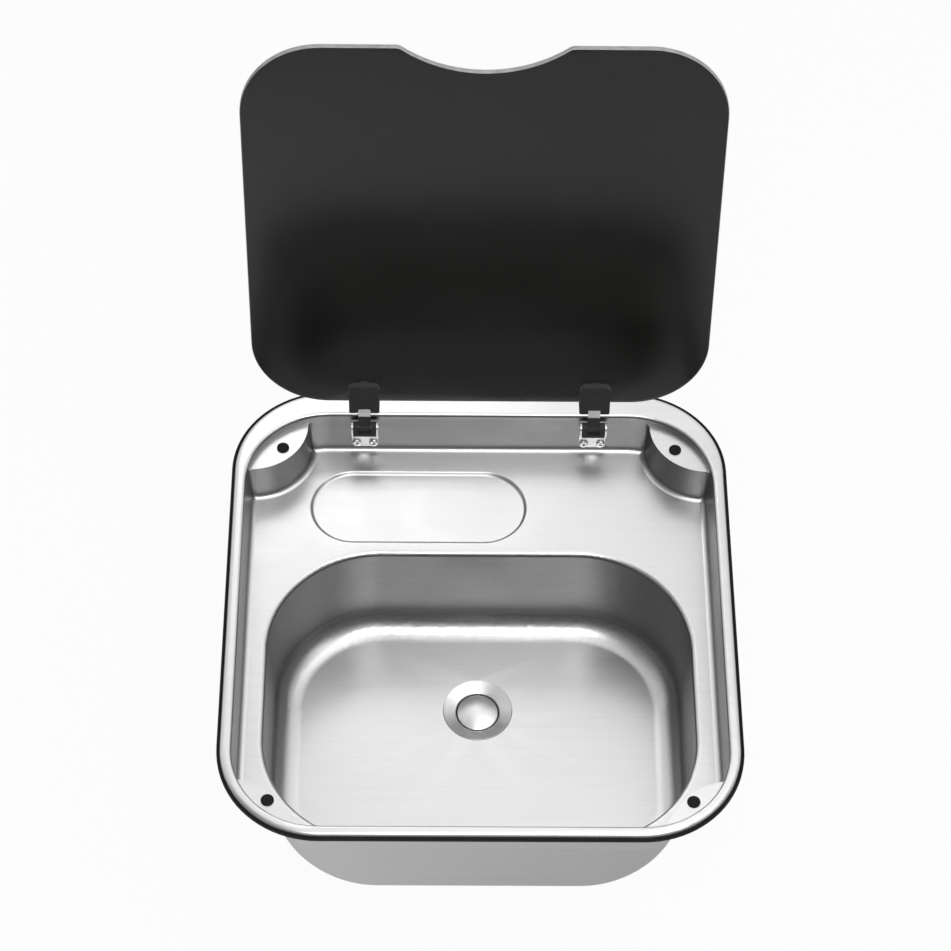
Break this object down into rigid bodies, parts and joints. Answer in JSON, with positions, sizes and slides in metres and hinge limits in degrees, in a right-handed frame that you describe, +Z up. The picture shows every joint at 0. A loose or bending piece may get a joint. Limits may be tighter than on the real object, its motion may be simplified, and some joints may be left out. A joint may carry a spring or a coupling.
{
  "type": "caravan sink with hinged glass lid",
  "caption": "Drop-in stainless caravan sink: deep basin, rear tap deck and a hinged tinted glass lid that closes inside the rim, with waste and plug.",
  "frame": {"origin": "centre of the rim outline on the worktop plane, the underside of the rim seal", "axes": "+X to the right seen from the front, +Y to the rear edge with the hinges, +Z up"},
  "size_m": [0.42, 0.4885, 0.5999],
  "materials": {
    "brushed_stainless": "satin brushed",
    "polished_stainless": "polished",
    "hinge_steel": "bright pressed steel",
    "plated_fasteners": "bright zinc plate",
    "hinge_plastic": "satin moulded black",
    "tinted_glass": "dark tinted, toughened, polished edge",
    "black_rubber": "matt",
    "waste_plastic": "moulded black"
  },
  "bodies": {
    "sink": {"front_left_bumper": "black_rubber", "front_right_bumper": "black_rubber", "hinge_nuts": "plated_fasteners", "hinge_screws": "plated_fasteners", "hinge_washers": "plated_fasteners", "left_base_block": "hinge_plastic", "left_bracket": "hinge_steel", "left_pin": "hinge_steel", "outlet_cup": "waste_plastic", "outlet_washer": "black_rubber", "rear_left_bumper": "black_rubber", "rear_right_bumper": "black_rubber", "right_base_block": "hinge_plastic", "right_bracket": "hinge_steel", "right_pin": "hinge_steel", "rim_seal": "black_rubber", "sink_pan": "brushed_stainless", "union_nut": "waste_plastic", "waste_back_nut": "waste_plastic", "waste_bottom_seal": "black_rubber", "waste_flange": "polished_stainless", "waste_top_seal": "black_rubber"},
    "lid": {"clamp_screws": "plated_fasteners", "glass_lid": "tinted_glass", "left_arm": "hinge_plastic", "left_bush": "hinge_plastic", "left_clamp_block": "hinge_plastic", "left_clamp_cap": "hinge_plastic", "left_inner_gasket": "black_rubber", "left_leaf": "hinge_steel", "left_outer_gasket": "black_rubber", "right_arm": "hinge_plastic", "right_bush": "hinge_plastic", "right_clamp_block": "hinge_plastic", "right_clamp_cap": "hinge_plastic", "right_inner_gasket": "black_rubber", "right_leaf": "hinge_steel", "right_outer_gasket": "black_rubber"},
    "plug": {"plug_dome": "polished_stainless", "plug_seal": "black_rubber", "plug_stem": "waste_plastic"}
  },
  "joints": [
    {"name": "lid_hinge", "type": "hinge", "parent": "sink", "child": "lid", "pos_m": [0, 0.18759, -0.0042], "axis": [1, 0, 0], "range_deg": [0, 100.8]},
    {"name": "plug_lift", "type": "slide", "parent": "sink", "child": "plug", "axis": [0, 0, 1], "range_m": [0, 0.012]}
  ]
}
